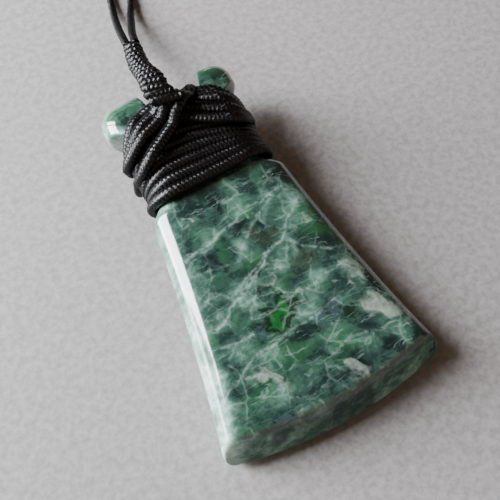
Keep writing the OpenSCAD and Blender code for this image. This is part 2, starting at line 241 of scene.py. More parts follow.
def soft_min(a, b, width):
    """The lower of two heights, with the corner between them rounded over a width."""
    h = np.clip(0.5 + (b - a) / (2 * width), 0, 1)
    return b + (a - b) * h - width * h * (1 - h)


# The stone's pattern: x and y in mm, with y counted from the lashing's lower edge
LASH_Y = 28.8
PALE_VEINS = [
    # strength, width, then the points that the vein runs through
    (0.9, 0.30, [(-6.9, -7.0), (-3.2, -6.2), (0.2, -5.3), (3, -4.8), (6, -4.2)]),
    (0.8, 0.30, [(-1, -8.6), (1, -6.8), (3, -5.6), (5, -4.5)]),
    (1.0, 0.34, [(-7.8, -15.3), (-4.4, -13.6), (-1.1, -11.8), (3, -9.5), (5, -7.8), (7, -6.2)]),
    (0.9, 0.30, [(-4.5, -13), (-1, -11.2), (2.5, -9.8)]),
    (0.8, 0.28, [(-3.5, -15.5), (-2.2, -13.6), (-1, -11.8)]),
    (0.8, 0.35, [(-8, -17), (-6, -17.2), (-4, -17)]),
    (0.9, 0.28, [(-9.7, -21.7), (-7.2, -20.4), (-4.8, -19.3), (-1, -18.7), (2.5, -18.4), (4.6, -18.0)]),
    (0.8, 0.30, [(0, -15.9), (3, -15.4), (6, -15)]),
    (0.7, 0.26, [(-2.2, -15.9), (-0.6, -15.8), (1.2, -15.9)]),
    (0.9, 0.22, [(0.8, -4.5), (1.2, -6)]),
    (0.6, 0.30, [(-9, -12), (-6.5, -11.2), (-4.5, -13)]),
    (0.6, 0.28, [(3, -9.5), (4.8, -11.4), (7.4, -12.6)]),
    (0.6, 0.26, [(6, -15), (8.5, -13.6), (9.4, -11.5)]),
    (0.6, 0.28, [(-7, -20.8), (-5, -21.6), (-3.6, -23.6)]),
    (0.5, 0.28, [(1, -22.6), (4, -21.9), (7.5, -22.6)]),
    (0.5, 0.26, [(-7.2, -8.6), (-4.6, -9.6), (-1.6, -9.8)]),
]
DARK_PATCHES = [
    # x, y, half length, half width, turn in degrees, strength
    (-3.0, -1.6, 1.8, 0.8, 10, 0.7), (-1.0, -3.0, 1.2, 0.8, 0, 0.9), (0.4, -6.2, 1.7, 0.7, 30, 0.9),
    (6.4, -2.2, 1.6, 1.5, 0, 0.9), (6.4, -11.2, 2.1, 1.3, -35, 1.0), (8.3, -8.6, 0.6, 2.2, -16, 0.9),
    (-3.8, -8.6, 1.9, 1.0, 8, 1.0), (-1.2, -11.0, 0.9, 0.8, 0, 1.0), (1.9, -8.2, 1.4, 1.0, 0, 0.5),
    (-2.6, -17.0, 1.7, 0.6, 25, 1.0), (-0.9, -13.6, 1.4, 0.6, 20, 0.7), (3.6, -18.7, 1.9, 0.9, 25, 1.0),
    (0.2, -19.5, 1.8, 1.0, 20, 0.9), (-1.9, -20.6, 1.0, 0.8, 0, 0.8), (2.4, -23.4, 1.3, 1.1, 0, 0.8),
    (9.2, -18.2, 0.8, 1.2, -30, 1.0), (-8.2, -20.6, 0.7, 1.4, -20, 0.8), (-6.3, -21.9, 1.2, 0.8, 0, 0.9),
    (1.9, -27.6, 2.3, 0.8, 15, 0.8), (10.1, -25.0, 1.2, 0.9, -40, 0.6), (8.2, -25.0, 0.7, 0.8, 0, 0.8),
    (0.6, -24.8, 1.6, 0.7, 5, 0.5), (6.6, 12.6, 1.5, 1.2, 0, 0.7), (-5.6, 11.0, 1.0, 1.6, 20, 0.6),
]
EMERALD_PATCHES = [
    # x, y, half length, half width, turn in degrees, strength
    (-0.9, -16.6, 1.5, 1.35, 20, 1.8), (-0.7, -17.9, 0.8, 0.45, 35, 0.9), (-4.2, -19.2, 0.8, 0.6, 30, 0.7),
    (5.4, -20.1, 1.0, 0.6, -30, 0.7), (11.8, -26.0, 0.6, 0.6, 0, 0.8), (-1.9, -1.6, 1.2, 0.7, 0, 0.5),
    (-5.2, -12.0, 0.7, 1.0, 0, 0.4), (-8.0, -21.0, 0.6, 0.9, -20, 0.5),
]
BROWN_PATCHES = [
    # x, y, half length, half width, turn in degrees, strength
    (1.9, -8.2, 1.5, 1.1, 0, 0.9), (4.0, -12.9, 1.7, 1.2, 0, 0.9), (3.0, -21.4, 1.2, 0.8, 0, 0.4),
]
CREAM_PATCHES = [
    # x, y, half length, half width, turn in degrees, strength
    (9.0, -20.9, 1.2, 2.0, 30, 1.0), (10.4, -22.8, 0.9, 0.8, 0, 0.7), (8.4, -15.9, 0.7, 1.5, 20, 0.8),
    (6.7, -8.4, 0.4, 1.0, -20, 0.6), (-4.8, -22.1, 0.6, 1.6, 23, 0.8), (1.2, -15.2, 1.6, 0.45, -45, 0.9),
    (-0.4, -13.4, 0.8, 0.5, 20, 0.7), (3.3, -25.0, 0.7, 0.6, 0, 0.8), (3.4, -22.4, 0.9, 0.5, 0, 0.5),
    (-4.6, -3.6, 0.5, 0.4, 0, 0.9), (-4.6, -27.0, 1.5, 0.7, 40, 0.6), (9.4, -27.4, 0.9, 0.5, 40, 0.7),
    (0.4, -11.5, 0.7, 0.5, 30, 0.8), (-7.0, 14.0, 1.6, 0.8, 30, 0.5),
]
GREY_PATCHES = [
    # x, y, half length, half width, turn in degrees, strength
    (-6.3, -26.4, 1.1, 1.8, -30, 0.9), (3.6, -18.7, 2.2, 1.0, 25, 0.7), (1.6, -27.8, 2.6, 0.8, 15, 0.8),
    (-3.8, -8.6, 1.8, 0.8, 8, 0.5), (-2.8, -17.2, 1.5, 0.6, 25, 0.6), (6.2, -25.9, 1.2, 0.7, 20, 0.5),
]


def wander(xy, wave, reach):
    """Shifts points along a slow, uneven swirl, so that patches and veins lose their plain forms."""
    shift = np.zeros_like(xy)
    for k in range(6):
        heading = 2.4 * k + 0.7
        phase = xy @ [math.cos(heading), math.sin(heading)] * 2 * math.pi / (wave * (0.6 + 0.23 * k))
        shift += np.stack([np.sin(phase + 1.9 * k), np.cos(0.8 * phase + 2.7 * k)], 1)
    return xy + shift * reach / 2.4


def patch_field(xy, rows):
    """How strongly the patches of a table cover each point, with uneven borders."""
    xy = wander(wander(xy, wave=2.6, reach=0.55), wave=1.1, reach=0.3)
    field = np.zeros(len(xy))
    for x, y, long, wide, turn, strength in rows:
        c, s = math.cos(math.radians(turn)), math.sin(math.radians(turn))
        dx, dy = xy[:, 0] - x, xy[:, 1] - y - LASH_Y
        reach = np.hypot((dx * c + dy * s) / long, (dy * c - dx * s) / wide)
        field = np.maximum(field, strength * ease((1.7 - reach) / 1.4))
    return field


def vein_field(xy, spread):
    """Nearness to the pale veins; spread widens them to the cloud that each one lies in."""
    xy = wander(wander(xy, wave=5.0, reach=0.22), wave=1.4, reach=0.06)
    field = np.zeros(len(xy))
    for strength, width, route in PALE_VEINS:
        pts = np.array(route, float) + [0, LASH_Y]
        near = np.full(len(xy), 1e9)
        for a, b in zip(pts[:-1], pts[1:]):
            t = np.clip(((xy - a) @ (b - a)) / ((b - a) @ (b - a)), 0, 1)
            near = np.minimum(near, np.hypot(*(xy - a - t[:, None] * (b - a)).T))
        field = np.maximum(field, strength * np.exp(-(near / (width * spread)) ** 2 / 2))
    return field


NEPHRITE_SHADES = [
    # place on the ramp from dark to pale, colour
    (0.0, "#0c1b1b"), (0.2, "#1a302b"), (0.38, "#2c483e"), (0.55, "#446356"),
    (0.72, "#64867a"), (0.86, "#86a79b"), (1.0, "#b0cbc1"),
]
STONE_PATCHES = {
    "dark": DARK_PATCHES, "brown": BROWN_PATCHES, "grey": GREY_PATCHES, "emerald": EMERALD_PATCHES,
    "cream": CREAM_PATCHES,
}
STONE_FIELDS = ("vein", "haze", "pale", "bevel", *STONE_PATCHES)
# How far a vein and the cloud round it spread, in its own widths, and the painted reflection along the left
# edge in mm: its width, its growth towards the blade, below which height and over which length it grows, and
# the stretch of outline it follows
VEIN_SPREAD, HAZE_SPREAD = 0.28, 2.2
PAINTED_SHEEN_W, PAINTED_SHEEN_GROW, PAINTED_SHEEN_LO, PAINTED_SHEEN_EASE, PAINTED_SHEEN_X, PAINTED_SHEEN_Y = 2.1, 1.0, 20, 8, -6, 3
BEVEL_FADE = 1.2
FACE_GLOSS, FACE_SHINE, FACE_COAT = 0.13, 0.5, 0.5


def nephrite_grain(tree, own):
    """The stone's noises by name: value outputs, and the web between its healed cells."""
    # clouds of 3 mm are dragged out by a slow drift; crumbs of 0.6 mm break their edges
    swirl = add(tree, "TexNoise", {"Vector": own, "Scale": 1 / 3.2, "Detail": 3.0, "Roughness": 0.6})
    drift = add(tree, "VectorMath", {0: swirl.outputs["Color"], "Scale": 1.5}, operation="SCALE")
    dragged = add(tree, "VectorMath", {0: own, 1: drift.outputs[0]}, operation="ADD").outputs[0]
    # fibres lie about 30 degrees across the stone, 3 mm long and 0.6 mm wide
    stretch = {"Vector": dragged, "Rotation": (0, 0, math.radians(-30)), "Scale": (0.3, 1.7, 1.0)}
    along = add(tree, "Mapping", stretch).outputs[0]
    grain = {}
    for name, where, size_mm, detail, rough in (
        ("clouds", dragged, 2.8, 6.0, 0.55), ("crumbs", dragged, 0.6, 4.0, 0.65),
        ("fibres", along, 1.0, 6.0, 0.6), ("strands", along, 1.35, 2.0, 0.5),
        ("greens", own, 5.0, 3.0, 0.6), ("clears", own, 1.0, 2.0, 0.6), ("waves", own, 2.0, 2.0, 0.6),
    ):
        feeds = {"Vector": where, "Scale": 1 / size_mm, "Detail": detail, "Roughness": rough}
        grain[name] = add(tree, "TexNoise", feeds).outputs[0]
    # threads run where the strands' noise crosses its middle
    middle = add(tree, "Math", {0: grain["strands"], 1: 2.0, 2: -1.0}, operation="MULTIPLY_ADD").outputs[0]
    grain["threads"] = add(tree, "Math", {0: middle}, operation="ABSOLUTE").outputs[0]
    # the web of healed cracks: thin pale lines between cells of 3 mm
    cells = add(tree, "TexVoronoi", {"Vector": dragged, "Scale": 0.3}, feature="DISTANCE_TO_EDGE")
    grain["web"] = cells.outputs["Distance"]
    return grain


def polished_nephrite():
    """Green nephrite, ground and polished to a soft gloss: cloudy green with pale veins, dark
    clots and a few clear emerald spots; light enters its skin a little way. Its colour also holds a
    painted reflection along the left edge and painted light on the shaded bevel."""
    material, tree, shader = new_material("polished_nephrite", Roughness=FACE_GLOSS, IOR=1.61,
                                          Subsurface_Weight=0.08, Subsurface_Scale=0.001,
                                          Subsurface_Radius=(0.6, 1.0, 0.75),
                                          Coat_Weight=FACE_COAT, Coat_Roughness=0.04)
    own = add(tree, "Attribute", attribute_name="stone_mm").outputs["Vector"]
    field = {name: add(tree, "Attribute", attribute_name=name).outputs["Fac"] for name in STONE_FIELDS}
    grain = nephrite_grain(tree, own)

    # how pale the stone is: each grain and field adds its share; the pale field paints a reflection along
    # the left edge, and the bevel field paints light onto the shaded bevel
    tone = -0.775
    for value, share in (
        (grain["clouds"], 1.3), (grain["fibres"], 0.4), (grain["crumbs"], 0.5), (field["haze"], 0.13),
        # pale: painted reflection of the window along the left edge; bevel: painted light that lifts the
        # shaded bevel
        (field["dark"], -0.34), (field["pale"], 0.42), (field["bevel"], 0.3),
    ):
        tone = add(tree, "Math", {0: value, 1: share, 2: tone}, operation="MULTIPLY_ADD").outputs[0]
    ramp = add(tree, "ValToRGB", {0: tone})
    shades = ramp.color_ramp.elements
    shades[0].color, shades[-1].color = hue(NEPHRITE_SHADES[0][1]), hue(NEPHRITE_SHADES[-1][1])
    for place, code in NEPHRITE_SHADES[1:-1]:
        shades.new(place).color = hue(code)

    # crumbs make the patches' borders ragged
    ragged = {}
    for name in ("brown", "grey", "emerald", "cream"):
        feeds = {0: grain["crumbs"], 1: 1.1, 2: field[name]}
        ragged[name] = add(tree, "Math", feeds, operation="MULTIPLY_ADD").outputs[0]
    # light gets into the clearest part of each emerald spot and comes back a bright green
    clear = add(tree, "Math", {0: grain["clears"], 1: 3.0, 2: field["emerald"]}, operation="MULTIPLY_ADD")
    veins = add(tree, "Math", {0: field["vein"], 1: 0.34}, operation="MULTIPLY")
    colour = laid_over(tree, ramp.outputs[0], (
        # colour, strength, then value, off and on
        ("#2a5c3a", 0.4, [(grain["greens"], 0.5, 0.66)]),
        ("#333f31", 0.5, [(ragged["brown"], 0.75, 1.65)]),
        ("#2f4445", 0.75, [(ragged["grey"], 0.75, 1.35)]),
        ("#091f12", 0.92, [(ragged["emerald"], 0.85, 1.3)]),
        ("#115a22", 0.62, [(clear.outputs[0], 2.75, 3.4), (ragged["emerald"], 0.95, 1.45)]),
        ("#a6b0a2", 0.62, [(ragged["cream"], 0.7, 1.95)]),
        ("#a7c0b6", 0.15, [(grain["web"], 0.05, 0.0), (grain["clouds"], 0.42, 0.6)]),
        ("#acc3ba", 0.18, [(grain["threads"], 0.055, 0.0), (grain["fibres"], 0.45, 0.62)]),
        ("#b4c9c0", veins.outputs[0], [(grain["crumbs"], 0.3, 0.65)]),
    ))
    tree.links.new(colour, shader.inputs["Base Color"])
    # the bevel was ground last and is a little duller
    for socket, on_face, change in (
        ("Roughness", FACE_GLOSS, 0.25), ("Specular IOR Level", FACE_SHINE, -0.42),
        ("Coat Weight", FACE_COAT, -0.5),
    ):
        value = add(tree, "Math", {0: field["bevel"], 1: change, 2: on_face}, operation="MULTIPLY_ADD")
        tree.links.new(value.outputs[0], shader.inputs[socket])
    # faint grinding waves left under the polish
    polish = add(tree, "Bump", {"Strength": 0.1, "Distance": 0.0001, "Height": grain["waves"]})
    tree.links.new(polish.outputs[0], shader.inputs["Normal"])
    return material


def edge_distance(xy, outline):
    """Distance from each point to the outline, whose points lie close together."""
    return np.concatenate([np.hypot(*(part[:, None] - outline[None]).transpose(2, 0, 1)).min(1)
                           for part in np.array_split(xy, max(len(xy) // 2000, 1))])


def inside(xy, ring):
    """Even and odd crossings of a ring to the right of each point."""
    a, b = ring, np.roll(ring, -1, 0)
    rise = np.where(a[:, 1] == b[:, 1], 1e-12, b[:, 1] - a[:, 1])
    odd = np.zeros(len(xy), bool)
    for (ax, ay), (bx, by), dy in zip(a, b, rise):
        odd ^= ((ay > xy[:, 1]) != (by > xy[:, 1])) & (xy[:, 0] < (bx - ax) * (xy[:, 1] - ay) / dy + ax)
    return odd


# The grid inside a ring: its rows' distance and how far it keeps off the ring, as shares of the spacing
GRID_ROW, GRID_CLEAR = 0.866, 0.55


def filled_ring(ring, spacing):
    """Triangles over a flat ring of points: its own points first, then a grid inside it."""
    low, high = ring.min(0), ring.max(0)
    y = np.arange(low[1], high[1], spacing * GRID_ROW)
    x = np.arange(low[0], high[0], spacing)
    grid = np.stack(np.meshgrid(x, y), -1)
    grid[1::2, :, 0] += spacing / 2
    grid = grid.reshape(-1, 2)
    grid = grid[inside(grid, ring)]
    grid = grid[edge_distance(grid, ring) > spacing * GRID_CLEAR]
    points = np.concatenate([ring, grid])
    border = [(k, (k + 1) % len(ring)) for k in range(len(ring))]
    made = delaunay_2d_cdt([Vector(q) for q in points], border, [], 1, 1e-7)
    return np.array([place[:] for place in made[0]]), np.array(made[2])


def inwards(outline):
    """Direction from each outline point to the spine, or across the head at its end."""
    x, y = outline.T
    at_end = (y > HEAD_END) | ((y > NOTCH_END) & (np.abs(x) < NOTCH_REACH))
    share = np.where(at_end, ease((HEAD_W / 2 - np.abs(x)) / HEAD_R), 0)[:, None]
    spine = np.stack([np.zeros(len(x)), np.clip(y, SPINE_LO, SPINE_HI)], 1)
    head = np.stack([x * HEAD_AIM[0], np.full(len(x), HEAD_AIM[1])], 1)
    return unit(spine + (head - spine) * share - outline)


def front_z(q, d, outline):
    """Height of the front at places q, which lie d inside the outline."""
    near = np.minimum(edge_distance(q, outline) / CROWN_W, 1)
    top = STONE_T / 2 + (STONE_T / 2) * dome(d / EDGE_W) - CROWN * (1 - near) ** 2 * ease(d / EDGE_W)
    return np.maximum(soft_min(bevel_h(q), top, BEVEL_SOFT), np.minimum(STONE_T / 2, bevel_h(q)))


def stone_surface(outline):
    """Points in mm and triangles: the rounded edge in rows, then the flat back and front."""
    aim = inwards(outline)
    rim = np.minimum(STONE_T / 2, bevel_h(outline))
    back_w = EDGE_W * (2 * rim / STONE_T) ** 1.2
    # the rows lie closer together towards the rim
    rows = []
    for share in np.linspace(1, 0, BACK_ROWS)[:-1]:
        d = EDGE_W * share ** 1.8
        rows.append(np.column_stack([outline + aim * d, rim * (1 - dome(d / back_w))]))
    rows.append(np.column_stack([outline, rim]))
    for share in np.linspace(0, 1, FRONT_ROWS)[1:]:
        d = ROUND_W * share ** 1.5
        q = outline + aim * d
        rows.append(np.column_stack([q, front_z(q, d, outline)]))
    count = len(outline)
    own = np.concatenate(rows)
    quads = grid_faces(len(rows), count, False, True)
    faces = [quads[:, [0, 1, 2]], quads[:, [0, 2, 3]]]
    for row, spacing, front in ((0, BACK_GRID, False), (len(rows) - 1, FRONT_GRID, True)):
        flat, triangles = filled_ring(rows[row][:, :2], spacing)
        inner = flat[count:]
        height = front_z(inner, ROUND_W, outline) if front else np.zeros(len(inner))
        index = np.concatenate([row * count + np.arange(count), len(own) + np.arange(len(inner))])
        own = np.concatenate([own, np.column_stack([inner, height])])
        faces.append(index[triangles if front else triangles[:, ::-1]])
    return own, np.concatenate(faces)


def stone_fields(xy, outline):
    """The value of each pattern field at each point, with the painted reflection along the left edge and the
    bevel's mask, whose colour lift is painted light.
    """
    # the pale field is a painted reflection: a lighter band along the left edge, on the window's side,
    # widening towards the blade
    left = outline[(outline[:, 0] < PAINTED_SHEEN_X) & (outline[:, 1] > PAINTED_SHEEN_Y)]
    painted_sheen_w = PAINTED_SHEEN_W + PAINTED_SHEEN_GROW * ease((PAINTED_SHEEN_LO - xy[:, 1]) / PAINTED_SHEEN_EASE)
    values = {name: patch_field(xy, rows) for name, rows in STONE_PATCHES.items()}
    values["vein"] = vein_field(xy, VEIN_SPREAD)
    values["haze"] = vein_field(xy, HAZE_SPREAD)
    # painted reflection along the left edge
    values["pale"] = ease(1 - edge_distance(xy, left) / painted_sheen_w) * (painted_sheen_w / PAINTED_SHEEN_W)
    # the bevel's mask: it dulls the bevel's gloss, and it lifts the bevel's colour, which is painted light
    # on its shaded face
    values["bevel"] = ease((STONE_T - bevel_h(xy)) / BEVEL_FADE)
    return values


def toki_stone():
    """The polished stone, with the values of its pattern, its painted left-edge reflection and its bevel at
    each point.
    """
    outline = stone_outline()
    own, faces = stone_surface(outline)
    piece = new_piece("toki_stone", lie(own), faces, polished_nephrite())
    values = stone_fields(own[:, :2], outline)
    for name in STONE_FIELDS:
        layer = piece.data.attributes.new(name, "FLOAT", "POINT")
        layer.data.foreach_set("value", values[name].astype(np.float32))
    layer = piece.data.attributes.new("stone_mm", "FLOAT_VECTOR", "POINT")
    layer.data.foreach_set("vector", own.astype(np.float32).ravel())
    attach(piece, "root")
    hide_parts("toki_blade")


# The lashing: sizes in mm, with its turns in the same places as in the part's source
CORD_D, GAP = 1.1, 0.1
CORD_R, LAYER = CORD_D / 2, CORD_D + GAP
WAIST_TURNS, WAIST_PITCH, FRONT_PITCH, WAIST_Y, WAIST_DROOP = 7, 0.65, 1.23, 29.75, 0.4
RIGHT_TURNS = [
    # side x, side y, notch x, notch y, droop at side, droop at middle
    (6.75, 36.3, 1.9, 40.2, 0.0, -0.45), (6.6, 35.9, 0.6, 40.2, 0.5, 0.3),
    (6.65, 35.25, -0.7, 40.2, 1.1, 0.9),
]
# one more turn fills the corner under the left bundle
UNDER_TURN = (6.6, 34.8, -1.9, 40.2, 1.5, 1.45)
LEFT_TURNS = [
    # side x, side y, notch x, notch y, droop at side, droop at middle
    (-6.6, 36.5, -1.1, 40.2, 0.3, -0.7), (-6.85, 36.1, 0.0, 40.2, 0.6, 0.0),
    (-7.05, 35.7, 0.95, 40.2, 0.75, 0.5),
]
CROSSING_LINE = (-6.6, 34.0, 2.7, 40.2, 1.6, 0.5)
NOTCH_IN, NOTCH_LEAN = 1.6, math.radians(27)
# Where a turn is pulled down: by which share, from which place and over which length. It fades out
# behind the stone
HEAD_PULL, SIDE_PULL, PULL_FADE = (0.8, 37.2, 2.6), (0.7, 4.4, 2.2), 0.6
# The lift over the waist turns and over the right bundle: how far it reaches and over which length
WAIST_REACH, WAIST_EASE, RIGHT_REACH, RIGHT_EASE, RIGHT_LAYERS = 1.75, 1.2, 3.25, 1.5, 1.31
CROWD = 0.16
# Points along half a bend round an edge, and along the front or the back
BEND_STEPS, FACE_STEPS = 20, 24


def fall_at(p, a, b, droop, side):
    """How far a turn from a to b droops towards the blade in front."""
    t = np.clip(((p - a) @ (b - a)) / ((b - a) @ (b - a)), 0, 1)
    return (droop[0] * (1 - t) + droop[1] * 4 * t * (1 - t)) * max(side, 0)


def pulled_in(foot, side):
    """Share of its lift that a turn keeps: where it bends round an edge it is pulled down into
    the turns below it, in front and beside the stone."""
    edge = max(share * float(ease((at - start) / over))
               for at, (share, start, over) in ((foot[1], HEAD_PULL), (abs(foot[0]), SIDE_PULL)))
    return 1 - edge * float(ease((side + PULL_FADE) / PULL_FADE))


def turn_path(a, b, in_b, dir_b, lift, droop):
    """One closed turn round the stone: centre points and outward directions, own frame in mm."""
    a, b, dir_b = (np.array(v, float) for v in (a, b, dir_b))
    u = unit(b - a)
    a_in, b_in = a + u * EDGE_W, b - dir_b * in_b
    feet = [(a_in + (b_in - a_in) * k / FACE_STEPS, 1.0, u * 0) for k in range(FACE_STEPS)]
    for k in range(2 * BEND_STEPS):
        ang = math.radians(90 - k * 90 / BEND_STEPS)
        feet.append((b_in + dir_b * in_b * math.cos(ang), math.sin(ang), dir_b * math.cos(ang)))
    feet += [(b_in + (a_in - b_in) * k / FACE_STEPS, -1.0, u * 0) for k in range(FACE_STEPS)]
    for k in range(2 * BEND_STEPS):
        ang = math.radians(90 - k * 90 / BEND_STEPS)
        feet.append((a_in - u * EDGE_W * math.cos(ang), -math.sin(ang), -u * math.cos(ang)))
    points, outs = [], []
    for foot, side, out in feet:
        foot = foot - [0, fall_at(foot, a, b, droop, side)]
        h = CORD_R + GAP + LAYER * lift(foot, side) * pulled_in(foot, side)
        points.append([*(foot + out * h), STONE_T / 2 + (STONE_T / 2 + h) * side])
        outs.append([*out, side])
    return np.array(points), unit(outs)


def clear_half_w(y):
    """Half the width between the sides of a turn that just clears the stone's sides."""
    off = CORD_R + GAP
    dy = off * np.arange(-4, 5) / 4
    return float(np.max(half_w(y + dy) + np.sqrt(off * off - dy * dy))) - off


def waist_fall(k):
    """How far a waist turn droops in front, where the turns lie further apart than behind."""
    return WAIST_DROOP - k * (FRONT_PITCH - WAIST_PITCH)


def on_waist(p, side):
    """Layers of cord under a shoulder turn: one over the waist turns."""
    fall = waist_fall(WAIST_TURNS - 1)
    half = np.array([WAIST_W / 2, 0])
    top = WAIST_Y + (WAIST_TURNS - 1) * WAIST_PITCH + CORD_R \
        - fall_at(np.array([p[0], 0]), -half, half, (fall, fall / 2), side)
    return float(ease((top + WAIST_REACH - p[1]) / WAIST_EASE))


def over_right(p, side):
    """Layers of cord under a left turn: the waist's, and the right bundle's where it lies."""
    x, y, notch_x, notch_y, *droop = RIGHT_TURNS[2]
    a, b = np.array([x, y]), np.array([notch_x, notch_y])
    u = unit(b - a)
    d = p + [0, fall_at(p, a, b, droop, side)] - a
    inside_right = d[0] * u[1] - d[1] * u[0]
    return on_waist(p, side) + RIGHT_LAYERS * float(ease((inside_right + RIGHT_REACH) / RIGHT_EASE))


def shoulder_turn(row, lift):
    """A turn from the notch in a side up to the notch in the head, and back behind the stone."""
    x, y, notch_x, notch_y, *droop = row
    lean = (-math.copysign(math.sin(NOTCH_LEAN), x), math.cos(NOTCH_LEAN))
    return turn_path((x, y), (notch_x, notch_y), NOTCH_IN, lean, lift, droop)


def waist_turn(k):
    """The waist turns crowd at the sides, where every other one rides a little higher."""
    y, fall = WAIST_Y + k * WAIST_PITCH, waist_fall(k)
    w = clear_half_w(y - max(fall, 0))
    lift = CROWD * (k % 2)
    return turn_path((-w, y), (w, y), EDGE_W, (1, 0),
                     lambda p, side: lift * (1 - abs(side)), (fall, fall / 2))


# Twelve yarns braided round a core: six one way and six the other, over one and under one
HAND_YARNS, BRAID_PITCH, YARN_W, YARN_ARCH, YARN_SWING = 6, 2.8, 0.22, 0.11, 0.08
CORE_SIDES, CORE_SINK, PRESSED = 6, 0.08, 0.5
LASH_STEP, NECK_STEP = 0.15, 0.2


def resample(points, outs, closed, step):
    """The line and its outward directions at even steps, the places along it and its length."""
    if closed:
        points, outs = np.vstack([points, points[:1]]), np.vstack([outs, outs[:1]])
    along = np.concatenate([[0], np.cumsum(np.linalg.norm(np.diff(points, axis=0), axis=1))])
    count = round(along[-1] / step)
    at = np.linspace(0, along[-1], count, endpoint=not closed)
    even_points, even_outs = (np.stack([np.interp(at, along, rows[:, k]) for k in range(3)], 1)
                              for rows in (points, outs))
    return even_points, unit(even_outs), at, along[-1]


def travel_of(points, closed):
    """Direction of travel at each point of a line."""
    if closed:
        return unit(np.roll(points, -1, 0) - np.roll(points, 1, 0))
    return unit(np.gradient(points, axis=0))


def braided(points, outs, closed, step, pressed=0.0):
    """Points, faces and lay of one braided cord along a centre line, in mm; where it faces up it
    is wider by the share pressed, and flatter by half of that."""
    points, outs, at, length = resample(points, outs, closed, step)
    ahead = travel_of(points, closed)
    outs = unit(outs - (outs * ahead).sum(1, keepdims=True) * ahead)
    beside = np.cross(ahead, outs)
    pitch = length / round(length / BRAID_PITCH)
    turn, n = 2 * math.pi * at / pitch, len(at)
    mid_r = CORD_R - YARN_SWING - YARN_ARCH
    wide = 1 + pressed * ease(outs[:, 2:3])
    flat = 1 - pressed / 2 * ease(outs[:, 2:3])
    verts, faces, lay, base = [], [], [], 0
    for hand in (1, -1):
        for k in range(HAND_YARNS):
            ang = hand * turn + k * 2 * math.pi / HAND_YARNS
            radial = outs * np.cos(ang)[:, None] * flat + beside * np.sin(ang)[:, None] * wide
            yarn = points + radial * (mid_r + hand * YARN_SWING * np.cos(HAND_YARNS * turn)[:, None])
            across = unit(np.cross(radial, travel_of(yarn, closed))) * (YARN_W * (1 + wide) / 2)
            for u in (-1, 0, 1):
                verts.append(yarn + across * u + radial * (YARN_ARCH * (1 - u * u)))
                lay.append(np.stack([at, np.full(n, u * YARN_W)], 1))
            rows = grid_faces(3, n, False, closed)
            faces.append(rows + base)
            base += 3 * n
    for k in range(CORE_SIDES):
        ang = 2 * math.pi * k / CORE_SIDES
        radial = outs * math.cos(ang) * flat + beside * math.sin(ang) * wide
        verts.append(points + radial * (mid_r - CORE_SINK))
        lay.append(np.stack([at, np.full(n, ang)], 1))
    faces.append(grid_faces(CORE_SIDES, n, True, closed, flip=True) + base)
    return np.concatenate(verts), np.concatenate(faces), np.concatenate(lay)


def cord_piece(name, cords, material, node):
    """One piece of several cords, which stands for a node of the source."""
    verts, faces, lay, base = [], [], [], 0
    for cord_verts, cord_faces, cord_lay in cords:
        verts.append(cord_verts)
        faces.append(cord_faces + base)
        lay.append(cord_lay)
        base += len(cord_verts)
    piece = new_piece(name, np.concatenate(verts), np.concatenate(faces), material, np.concatenate(lay))
    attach(piece, "root")
    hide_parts(node)
    return piece


def own_braid(points, outs, closed=True):
    """A braid of the lashing, from the stone's own frame in mm to the part's in metres."""
    verts, faces, lay = braided(points, outs, closed, LASH_STEP, PRESSED)
    return lie(verts), faces, lay


WAX_SPOT = 5 / 3


def waxed_braid():
    """Black polyester braid, waxed: near-black yarns of fine filaments with a dull, greasy
    shine on the side of the light."""
    material, tree, shader = new_material("waxed_braid", Roughness=0.34, IOR=1.45, Specular_IOR_Level=0.4)
    lay = add(tree, "UVMap", uv_map="lay").outputs[0]
    # filaments are 0.02 mm in fact, drawn 0.09 mm wide and 0.8 mm long so that they show
    drawn = add(tree, "Mapping", {"Vector": lay, "Scale": (1.2, 11, 1)}).outputs[0]
    fine = {"Vector": drawn, "Scale": 1.0, "Detail": 3.0, "Roughness": 0.6}
    filaments = add(tree, "TexNoise", fine).outputs[0]
    # wax lies thicker in spots of WAX_SPOT mm
    place = add(tree, "TexCoord").outputs["Object"]
    wax = add(tree, "TexNoise", {"Vector": place, "Scale": 1 / (WAX_SPOT * MM), "Detail": 3.0}).outputs[0]
    colour = laid_over(tree, hue("#040405"), (
        ("#0a090a", 1.0, [(filaments, 0.35, 0.7)]),
        ("#111011", 0.5, [(wax, 0.55, 0.75)]),
    ))
    tree.links.new(colour, shader.inputs["Base Color"])
    ridges = add(tree, "MapRange", {0: filaments, 1: 0.3, 2: 0.8}, interpolation_type="SMOOTHSTEP")
    bump = add(tree, "Bump", {"Strength": 0.5, "Distance": 0.00004, "Height": ridges.outputs[0]})
    tree.links.new(bump.outputs[0], shader.inputs["Normal"])
    return material


NECK_W, NECK_TURNS, NECK_SINK, TURN_POINTS = 2.8, 14, 0.4, 40
# The first and last place of the strand along its stations, the stretch that is pressed down, the
# stretch whose turns are tilted, and by how much
STRAND_FROM, STRAND_TO, SINK_OVER, TILT_OVER, TILT = 0.02, 0.97, 0.3, 0.25, 0.55
NECK_STATIONS = np.array([
    # x, y, z, width share, height
    [-1.35, 38.9, 9.75, 1.2, 1.45], [-1.25, 40.4, 9.2, 1.16, 1.7], [-1.15, 42.1, 8.0, 1.06, 2.0],
    [-1.1, 43.8, 6.5, 0.98, 2.3], [-1.0, 45.6, 5.1, 0.96, 2.4], [-0.8, 47.5, 3.9, 0.94, 2.4],
    [-0.45, 49.5, 2.8, 0.92, 2.3], [-0.1, 51.5, 1.8, 0.84, 2.1],
])

# The winding starts with wider turns, pressed down on the notch by NECK_SINK
NECK_BASE = [-0.8, 37.6, 9.7, 1.45, 1.3]
# The least that a turn's centre line rises over the middle of the winding
MIN_HIGH = 0.15


